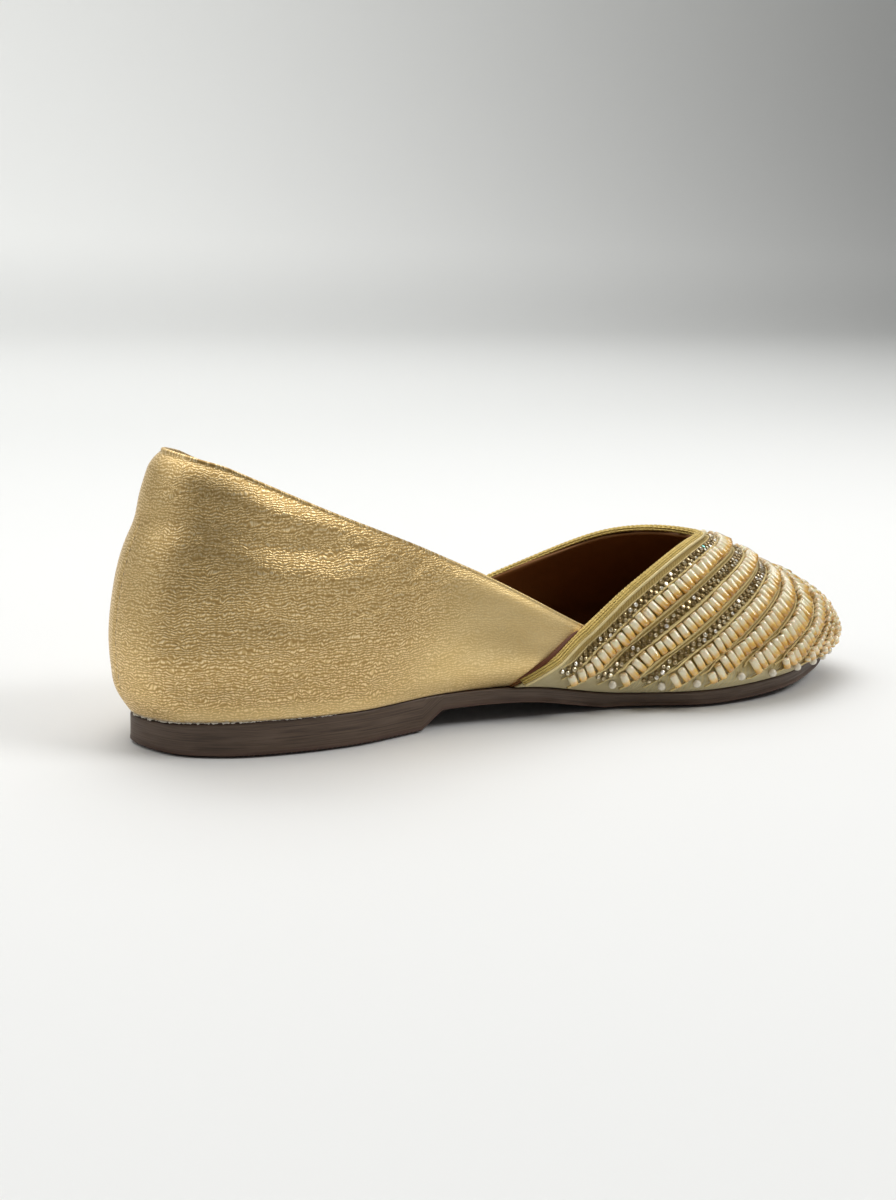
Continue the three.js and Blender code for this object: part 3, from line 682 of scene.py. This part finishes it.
def vamp_layer(low, high, edge, rows, cols):
    """A closed layer of the vamp between two lifts: out over the top side and back under it."""
    across = np.linspace(-0.999, 0.999, cols)
    row, over = np.broadcast_arrays(np.linspace(edge, 1, rows)[:, None], np.concatenate([across, across[::-1]]))
    lift = np.concatenate([np.full(cols, high), np.full(cols, low)]) + 0 * row
    place = np.stack([row * CLOTH_LENGTH, over * CLOTH_WIDTH, np.abs(over)], -1)
    return row_point(row, over, lift), place


def vamp():
    """The vamp's two layers: the lining from the throat's edge, and the cloth over it from a little behind."""
    lining = Shape()
    points, place = vamp_layer(LINING_IN, LINING_OUT, 0.0, 50, 110)
    lining.add(points, place)
    leather = lining_leather("vamp_lining", (0.24, 0.095, 0.020))
    lining.piece("vamp_lining", [leather], "lining_leather", ["upper"])
    cloth = Shape()
    points, place = vamp_layer(COVER_LOW, COVER_HIGH, 0.012, 110, 190)
    cloth.add(points, place)
    cloth.piece("vamp_cloth", [brocade()], "brocade", ["vamp_cover"])


def strand(shape, row, stop, offset, lift, radius, count=260, around=8, **twisted):
    """A thread that follows a row, offset millimetres towards the toe from its middle."""
    across, length = even_places(row, stop, lift, count)
    here, _, aside, up, _ = row_frame(row, across, lift)
    centre = here + aside * np.reshape(offset, (-1, 1))
    points = tube(centre, aside, up, radius, around, **twisted)
    place = np.zeros(points.shape)
    place[..., 0] = np.linspace(0, length, count)[:, None]
    place[..., 1] = np.linspace(0, 3, around)[None, :]
    shape.add(points, place)


def braid():
    """Five twisted threads wrapped over the throat's edge, a pale cord beside them, and the lining's edge in
    painted shade.
    """
    threads = Shape()
    for offset, lift in ((-2.25, 0.75), (-2.35, 1.45), (-1.95, 2.05), (-1.35, 2.42), (-0.70, 2.45)):
        strand(
            threads, BRAID_ROW, BRAID_STOP, offset, lift, BRAID_THREAD, 560, 8, lobes=2, depth=0.34, twist=4.2
        )
    threads.piece(
        "throat_braid_threads", [gold_thread("braid_thread", (0.30, 0.18, 0.020), (0.95, 0.72, 0.22))],
        "gold_thread", ["throat_braid"],
    )
    cord = Shape()
    strand(cord, BRAID_ROW, BRAID_STOP, 0.08, COVER_HIGH + 0.5, PALE_CORD, 320, 10)
    pale = gold_thread("pale_cord", (0.64, 0.49, 0.19), (0.93, 0.79, 0.44), 0.4)
    cord.piece("throat_cord", [pale], "gold_thread")
    lip = Shape()
    for low, high in ((-0.985, -0.80), (0.80, 0.985)):
        across = np.linspace(low, high, 90)
        here, _, aside, up, _ = row_frame(0.004, across, 0.75)
        fade = np.sqrt(np.clip(1 - np.linspace(-1, 1, 90) ** 2, 0.002, 1))
        lip.add(tube(here - aside, aside, up, 0.8 * fade, 10))
    # The edge is the vamp lining's leather, darkened to about half as painted shade in the tuck between quarter
    # and vamp.
    lip.piece("lining_edge", [lining_leather("edge_leather_painted_shade", (0.13, 0.035, 0.009))], "lining_leather")


def bead_span(number, across, lift):
    """Middle and half length of a row's beads, as offsets towards the toe.

    The first three rows have whole beads. The others fill what their cords and neighbours leave.
    """
    rows, cord = BEAD_ROWS["row"], BEAD_ROWS["cord"][number]
    here, _, aside, _, room = row_frame(rows[number], across, lift)
    if number < 3:
        half = np.minimum(BEAD_LENGTH / 2, 0.036 * room)
        return 0 * half, half
    ahead = rows[number + 1] if number + 1 < len(rows) else 2 * rows[number] - rows[number - 1]
    beside = [row_point(row, across, lift) for row in (rows[number - 1], ahead)]
    reach = [0.5 * ((there - here) * aside).sum(-1) for there in beside]
    spare = 2.0 * cord + 0.12
    low, high = np.clip(reach[0] + spare, -2.8, -0.5), np.clip(reach[1] - spare, 0.5, 2.8)
    return (low + high) / 2, (high - low) / 2


BEAD_PROFILE = table(
    "at wide",
    (-1.0, 0.42), (-1.0, 0.78), (-0.92, 0.96), (-0.55, 1.0), (0.55, 1.0), (0.92, 0.96), (1.0, 0.78),
    (1.0, 0.42),
)


def beads():
    """Tube beads side by side, each across its row: a profile turned in 12 sides. Cords run beside each row."""
    shape, cords = Shape(), Shape()
    rows = len(BEAD_ROWS["row"])
    angle = np.linspace(0, 2 * np.pi, 12, endpoint=False)
    for number in range(rows):
        row, stop, cord = [BEAD_ROWS[key][number] for key in ("row", "stop", "cord")]
        _, length = even_places(row, stop, COVER_HIGH, 9)
        count = int(length / BEAD_PITCH)
        across, _ = even_places(row, stop, COVER_HIGH, count)
        lift = COVER_HIGH + BEAD_RADIUS + random.uniform(-0.08, 0.10, count)
        here, along, aside, up, _ = row_frame(row, across, lift)
        middle, half = bead_span(number, across, lift)
        here = here + aside * middle[:, None]
        half = half * random.uniform(0.94, 1.03, count)
        radius = np.minimum(BEAD_RADIUS, 1.35 * half) * random.uniform(0.94, 1.06, count)
        tilt = random.normal(0, 0.07, count)[:, None]
        lie = random.normal(0, 0.05, count)[:, None]
        axis = unit(aside + tilt * along + lie * up)
        second = unit(along - axis * (along * axis).sum(-1, keepdims=True))
        third = np.cross(axis, second)
        here = here + aside * random.normal(0, 0.12, (count, 1)) + along * random.normal(0, 0.09, (count, 1))
        at, wide = BEAD_PROFILE["at"][None, :, None, None], BEAD_PROFILE["wide"][None, :, None, None]
        ring = second[:, None, None] * np.cos(angle)[:, None] + third[:, None, None] * np.sin(angle)[:, None]
        points = here[:, None, None] + axis[:, None, None] * at * half[:, None, None, None]
        points = points + ring * wide * radius[:, None, None, None]
        place = np.zeros(points.shape)
        place[..., 0] = (at[..., 0] + 1) / 2
        place[..., 1] = random.uniform(0, 1, (count, 1, 1))
        place[..., 2] = number / (rows - 1)
        shape.add(points, place)
        for way in (-1, 1):
            cord_lift = COVER_HIGH + 0.8 * cord
            cord_stop = stop * BEAD_CORD_STOP
            beside, _ = even_places(row, cord_stop, cord_lift, 220)
            middle, half = bead_span(number, beside, cord_lift)
            strand(cords, row, cord_stop, middle + way * (half + 1.05 * cord), cord_lift, cord, 220, 7)
    names = [f"bead_row_{number + 1}" for number in range(rows)]
    shape.piece("tube_beads", [bead_glass()], "bead_glass", names)
    for row, stop in zip(STONE_ROWS["row"], STONE_ROWS["stop"]):
        for way in (-1, 1):
            offset = way * (STONE_ASIDE + STONE_RADIUS + 0.22)
            strand(cords, row, stop * STONE_CORD_STOP, offset, COVER_HIGH + 0.12, STONE_CORD, 220, 7)
    thread = gold_thread("couched_cord", (0.56, 0.41, 0.13), (0.92, 0.76, 0.38), 0.36)
    cords.piece("couched_cords", [thread], "gold_thread")


STONE_PROFILE = table("wide up", (0.55, -0.35), (1.0, 0.0), (1.0, 0.12), (0.86, 0.34), (0.52, 0.55))
CUP_PROFILE = table("wide up", (1.16, -0.55), (1.22, 0.02), (1.10, 0.10), (0.98, 0.02), (0.98, -0.5))


def turned(here, along, aside, up, profile, sizes, sides):
    """Lathe forms about the outward direction, one per place."""
    angle = np.linspace(0, 2 * np.pi, sides, endpoint=False)
    ring = along[:, None, None] * np.cos(angle)[:, None] + aside[:, None, None] * np.sin(angle)[:, None]
    wide, height = profile["wide"][None, :, None, None], profile["up"][None, :, None, None]
    scale = np.reshape(sizes, (-1, 1, 1, 1))
    return here[:, None, None] + (ring * wide + up[:, None, None] * height) * scale


def stones():
    """Small cut stones in thin metal cups, in two staggered lines to a row."""
    shape, cups = Shape(), Shape()
    for number, (row, stop) in enumerate(zip(STONE_ROWS["row"], STONE_ROWS["stop"])):
        _, length = even_places(row, stop, COVER_HIGH, 9)
        count = int(length / STONE_PITCH * STONE_CROWD)
        across, _ = even_places(row, stop, COVER_HIGH, count)
        here, along, aside, up, _ = row_frame(row, across, COVER_HIGH + 0.62)
        zigzag = np.where(np.arange(count) % 2, STONE_ASIDE, -STONE_ASIDE)[:, None]
        here = here + along * random.normal(0, 0.10, (count, 1))
        here = here + aside * (zigzag + random.normal(0, 0.08, (count, 1)))
        face = unit(up + random.normal(0, 0.10, (count, 3)))
        side = unit(along - face * (along * face).sum(-1, keepdims=True))
        sizes = STONE_RADIUS * random.uniform(0.84, 1.04, count)
        chance = random.uniform(0, 0.96, count)
        if number == 0:
            chance[int(np.argmin(np.abs(across + 0.33)))] = 1.0
        points = turned(here, side, np.cross(face, side), face, STONE_PROFILE, sizes, 8)
        place = np.zeros(points.shape)
        place[..., 0] = chance[:, None, None]
        shape.add(points, place)
        cups.add(turned(here, side, np.cross(face, side), face, CUP_PROFILE, sizes, 12))
    names = [f"stone_row_{number + 1}" for number in range(len(STONE_ROWS["row"]))]
    shape.piece("small_stones", [stone_glass()], "stone_glass", names, smooth=False)
    metal = gold_thread("cup_metal", (0.26, 0.17, 0.05), (0.50, 0.37, 0.15), 0.3)
    cups.piece("stone_cups", [metal], "gold_thread")


def pearls():
    """A round pearl at each foot of every bead row but the first."""
    shape = Shape()
    polar, angle = np.meshgrid(
        np.linspace(0.12, np.pi - 0.12, 10), np.linspace(0, 2 * np.pi, 14, endpoint=False), indexing="ij"
    )
    ball = np.stack([np.sin(polar) * np.cos(angle), np.sin(polar) * np.sin(angle), np.cos(polar)], -1)
    for row, stop in list(zip(BEAD_ROWS["row"], BEAD_ROWS["stop"]))[1:]:
        for way in (-1, 1):
            _, length = even_places(row, stop, COVER_HIGH, 9)
            place_across = way * min(1 - stop + 2.0 * 1.6 / length, 0.97)
            centre = row_point(row, place_across, COVER_HIGH + 1.2)
            shape.add(centre + PEARL_RADIUS * ball)
    shape.piece("foot_pearls", [pearl()], "bead_glass")


def sole_floor(station):
    """Height of the sole's underside: level under the heel, then up the breast to the sole's own edge."""
    along = column("along", station)
    lifted = np.maximum(0, HEEL_HEIGHT * column("seat", station) - SOLE_EDGE)
    return lifted * np.clip((along - HEEL_START) / (BREAST_RUN / SOLE_LENGTH), 0, 1)


def sole():
    """Closed rings along the sole: up the inner wall, over the top, down the outer wall and back underneath.

    Place is (length, height above the underside, 1 on the underside).
    """
    cuts = station_at(np.array([HEEL_START, HEEL_START + BREAST_RUN / SOLE_LENGTH]))
    station = np.sort(np.concatenate([np.linspace(0, LAST, 1500), cuts]))
    top = HEEL_HEIGHT * column("seat", station)
    floor = sole_floor(station)
    along = column("along", station)
    length = running_length(outline(station, -1.0))
    tread = smooth_step(0.08, 0.12, along) * (1 - smooth_step(HEEL_START - 0.01, HEEL_START, along))
    notch = NOTCH_DEPTH * tread * smooth_step(-0.2, 0.35, np.sin(2 * np.pi * length / NOTCH_PITCH))
    lip = smooth_step(HEEL_START, HEEL_START + 0.05, along)
    zero = 0 * top
    wall = [  # inset and height of each level, from the bottom edge to the top
        (2.6 + notch + 1.8 * lip, floor),
        (1.3 + 0.9 * notch + 0.7 * lip, floor + 0.34 + 0.25 * lip),
        (0.3 + 0.6 * notch + 0.15 * lip, floor + 0.66 + 0.2 * lip),
        (zero + 0.02, floor + 1.0),
        (zero + 0.02, floor + 1.5),
        (0.10 + 0.34 * lip, floor + 2.0),
        (0.10 + 0.38 * lip, 0.5 * (floor + 2.1) + 0.5 * (top - 1.2)),
        (zero + 0.05, top - 1.1),
        (zero + 0.05, top - 0.6),
        (zero + 0.16, top - 0.18),
        (zero + 0.42, top),
    ]
    insets = np.stack([inset + zero for inset, _ in wall], 1)
    heights = np.stack([height + zero for _, height in wall], 1)
    levels = insets.shape[1]
    sides = {}
    for side in (-1.0, 1.0):
        plan = outline(station[:, None] + 0 * insets, side, insets + heel_tuck(station, side)[:, None])
        plan[..., 0] += back_lean(along, 0 * along)[:, None]
        sides[side] = np.concatenate([plan, heights[..., None]], -1)
        sides[side][[0, -1], :, 1] = 0
    share = np.linspace(0, 1, 8)[1:-1][None, :, None]
    over = sides[-1.0][:, -1:, :] * (1 - share) + sides[1.0][:, -1:, :] * share
    under = sides[1.0][:, :1, :] * (1 - share) + sides[-1.0][:, :1, :] * share
    points = np.concatenate([sides[-1.0], over, sides[1.0][:, ::-1], under], 1)
    up = np.concatenate([heights, over[..., 2], heights[:, ::-1], under[..., 2]], 1) - floor[:, None]
    # 1 on the underside and on the bottom edges, where the rubber paints its shade.
    below = np.zeros(points.shape[1])
    below[2 * levels + over.shape[1]:] = 1
    below[[0, 2 * levels + over.shape[1] - 1]] = 1
    place = np.stack([length[:, None] + 0 * up, up, below[None, :] + 0 * up], -1)
    shape = Shape()
    shape.add(points, place, caps=False)
    shape.piece("rubber_sole", [rubber()], "sole_rubber", ["outsole"])


def back_seam():
    """Short stitches down the back seam, half sunk in its groove."""
    shape = Shape()
    up = np.arange(8, 52, STITCH_PITCH)
    angle = np.linspace(0, 2 * np.pi, 6, endpoint=False)
    station = np.full((len(up), 5), float(np.interp(1.9, running_length(outline(STATIONS, -1.0)), STATIONS)))
    run = up[:, None] + np.linspace(-1.0, 1.0, 5)[None, :]
    sink = -0.16 - 0.3 * np.linspace(-1, 1, 5)[None, :] ** 2 + creases(0 * run, run, -1 + 0 * run)
    centre = skin(station, -1.0, rise_at_height(station, run), sink)
    out = unit(skin(station, -1.0, rise_at_height(station, run), sink + 1) - centre)
    beside = unit(np.cross(out, [0, 0, 1.0]))
    ring = beside[:, :, None] * np.cos(angle)[:, None] + out[:, :, None] * np.sin(angle)[:, None]
    shape.add(centre[:, :, None] + STITCH_RADIUS * ring)
    thread = gold_thread("stitch_thread", (0.20, 0.12, 0.04), (0.45, 0.32, 0.14))
    shape.piece("back_stitches", [thread], "gold_leather")


def glue():
    """Rough squeezed-out glue along the feather edge of the inner side, thinning out to the front."""
    shape = Shape()
    length = running_length(outline(STATIONS, -1.0))
    run = np.linspace(1.5, 66, 900)
    station = np.interp(run, length, STATIONS)
    rough = np.convolve(random.normal(0, 1, 908), np.ones(9) / 9, "valid") * 3
    radius = np.clip(0.16 + 0.13 * rough, 0.03, 0.5) * (1 - 0.55 * smooth_step(24, 60, run))
    centre = skin(station, -1.0, 0 * run, 0.05 + 0.05 * rough)
    centre[:, 2] += -0.12 + 0.05 * np.roll(rough, 50)
    out = unit(skin(station, -1.0, 0 * run, 1.0) - skin(station, -1.0, 0 * run, 0.0))
    shape.add(tube(centre, out, np.broadcast_to([0.0, 0.0, 1.0], out.shape), radius, 7))
    look = Look("dried_glue")
    spot = look.node("TexCoord", {}, "Object")
    colour = look.mix(look.noise(spot, 1500.0, 3), (0.62, 0.55, 0.42), (0.86, 0.83, 0.74))
    shape.piece("glue_line", [look.surface(Base_Color=colour, Roughness=0.45)], "gold_leather")


def stage():
    """Seamless pale paper: a floor that darkens a little towards the back as painted shade, and turns up into a
    backdrop far behind.
    """
    look = Look("paper")
    spot = look.node("TexCoord", {}, "Object")
    colour = look.mix(look.noise(spot, 3.0, 2), (0.83, 0.83, 0.815), (0.86, 0.86, 0.845))
    # Painted shade: the floor goes darker from 0.1 to 0.7 m behind the shoe and stays so to the bend, and the
    # colour comes back up the backdrop.
    colour = look.mix(look.fit(look.part(spot, 1), 0.1, 0.7), colour, (0.71, 0.715, 0.70))
    colour = look.mix(look.fit(look.part(spot, 2), 0.0, 0.10), colour, (0.86, 0.865, 0.845))
    paper = look.surface(Base_Color=colour, Roughness=0.7, Specular_IOR_Level=0.2)
    front, flat, bend, top, half = -2500.0, 1300.0, 500.0, 2600.0, 3200.0
    turn = np.linspace(0, np.pi / 2, 20)
    depth = np.concatenate([[front], flat + bend * np.sin(turn), [flat + bend]])
    height = np.concatenate([[0.0], bend * (1 - np.cos(turn)), [top]])
    across = np.linspace(-half, half, 5)[:, None]
    ground = np.stack([across + 0 * depth, depth + 0 * across, height + 0 * across], -1)
    sweep = Shape()
    sweep.add(ground[:, ::-1], wrap=False, caps=False)
    sweep.piece("paper_sweep", [paper], None)


def light(name, place, target, size, power):
    """A square soft white light that faces its target, in metres and watts."""
    lamp = bpy.data.lights.new(name, "AREA")
    lamp.shape, lamp.size, lamp.energy = "SQUARE", size, power
    holder = bpy.data.objects.new(name, lamp)
    back = unit(np.subtract(place, target).astype(float))
    right = unit(np.cross([0, 0, 1.0], back))
    aim(holder, place, right, np.cross(back, right), back)


def aim(holder, place, right, up, back):
    """Puts a light or a camera at a place, with its own three axes along these directions."""
    axes = [[*right, 0], [*up, 0], [*back, 0], [*place, 1]]
    holder.matrix_world = Matrix(axes).transposed()
    bpy.context.scene.collection.objects.link(holder)


def camera():
    """The photo's view: azimuth and elevation round the shoe, and a slight roll."""
    azimuth, elevation, roll = [math.radians(v) for v in (CAMERA_AZIMUTH, CAMERA_ELEVATION, CAMERA_ROLL)]
    target = (np.array(CAMERA_TARGET) - [ORIGIN_X, 0, 0]) / 1000
    level = math.cos(elevation)
    back = np.array([-math.sin(azimuth) * level, -math.cos(azimuth) * level, math.sin(elevation)])
    right = unit(np.cross(-back, [0, 0, 1.0]))
    up = np.cross(right, -back)
    lens = bpy.data.cameras.new("camera")
    lens.sensor_fit, lens.sensor_width = "HORIZONTAL", SENSOR_WIDTH
    lens.lens = SENSOR_WIDTH * LENS_LENGTH / PHOTO_WIDTH
    lens.clip_start, lens.clip_end = 0.05, 20.0
    holder = bpy.data.objects.new("camera", lens)
    rolled_right = math.cos(roll) * right + math.sin(roll) * up
    rolled_up = -math.sin(roll) * right + math.cos(roll) * up
    aim(holder, target + CAMERA_DISTANCE / 1000 * back, rolled_right, rolled_up, back)
    bpy.context.scene.camera = holder


def sock():
    """The insole keeps its own solid and gets the lining's leather."""
    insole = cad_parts["insole"]
    insole.data.materials.clear()
    insole.data.materials.append(lining_leather("sock_leather", (0.20, 0.095, 0.036)))


def surroundings():
    """Faint cool light from all round, and colours shown as they are."""
    bpy.context.scene.view_settings.view_transform = "Standard"
    world = bpy.data.worlds.new("studio")
    world.use_nodes = True
    background = world.node_tree.nodes["Background"]
    background.inputs["Color"].default_value = (0.93, 0.95, 0.96, 1)
    background.inputs["Strength"].default_value = 0.10
    bpy.context.scene.world = world


quarter()
vamp()
braid()
beads()
stones()
pearls()
sole()
back_seam()
glue()
stage()
sock()
camera()
light("top", (0.12, 0.42, 1.35), (0.06, 0, 0.02), 1.8, 19)
light("heel", (-1.1, 0.3, 0.8), (0.0, 0, 0.04), 0.8, 3)
light("toe", (0.9, -0.7, 1.1), (0.12, 0, 0.03), 0.6, 8.5)
light("backdrop", (0.1, 0.9, 1.5), (0.6, 1.8, 0.40), 1.0, 9)
surroundings()
